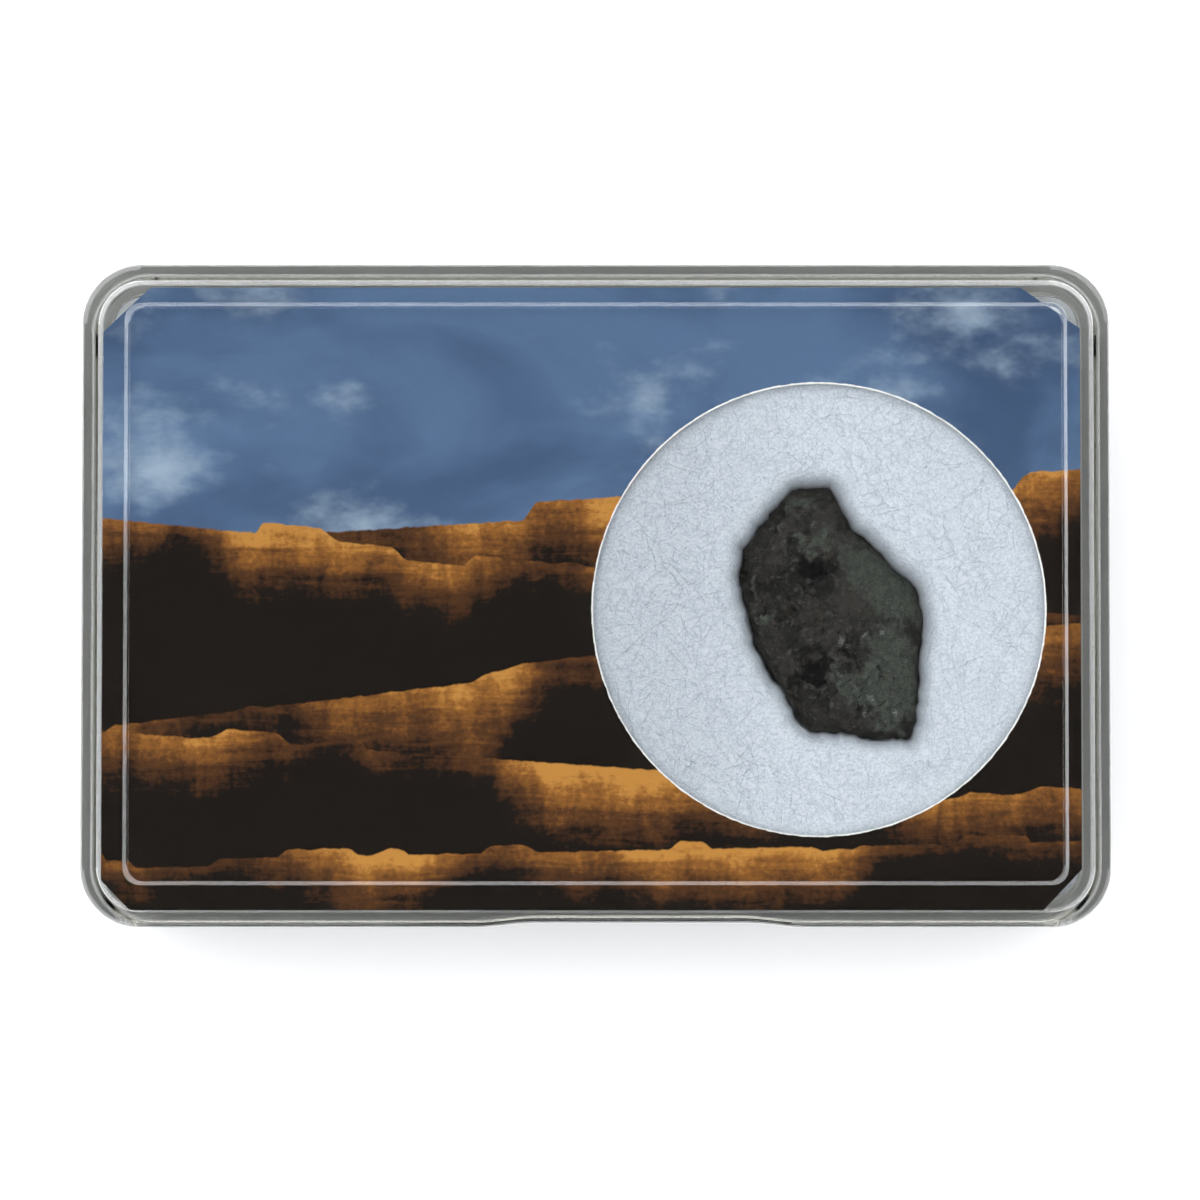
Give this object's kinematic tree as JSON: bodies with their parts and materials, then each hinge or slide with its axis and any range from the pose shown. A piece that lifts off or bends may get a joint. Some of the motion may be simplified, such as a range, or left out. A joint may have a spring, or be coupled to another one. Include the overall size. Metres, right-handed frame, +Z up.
{
  "type": "boxed chondrite meteorite specimen",
  "caption": "Dark angular stone fragment bedded in white wadding under a printed card with a round window, closed in a clear flat box with a lift-off lid.",
  "frame": {"origin": "middle of the box's underside", "axes": "+X along the long side, towards the window; +Y along the short side, towards the card's top edge; +Z up, out of the lid"},
  "size_m": [0.083, 0.0536, 0.017],
  "materials": {
    "clear_plastic": "clear and glossy",
    "white_wadding": "matt and fibrous",
    "printed_card": "satin print on card",
    "dark_stone": "rough broken stone"
  },
  "bodies": {
    "root": {"base_tray": "clear_plastic", "lid": "clear_plastic", "wadding_pad": "white_wadding", "label_card": "printed_card", "meteorite": "dark_stone"}
  },
  "joints": []
}
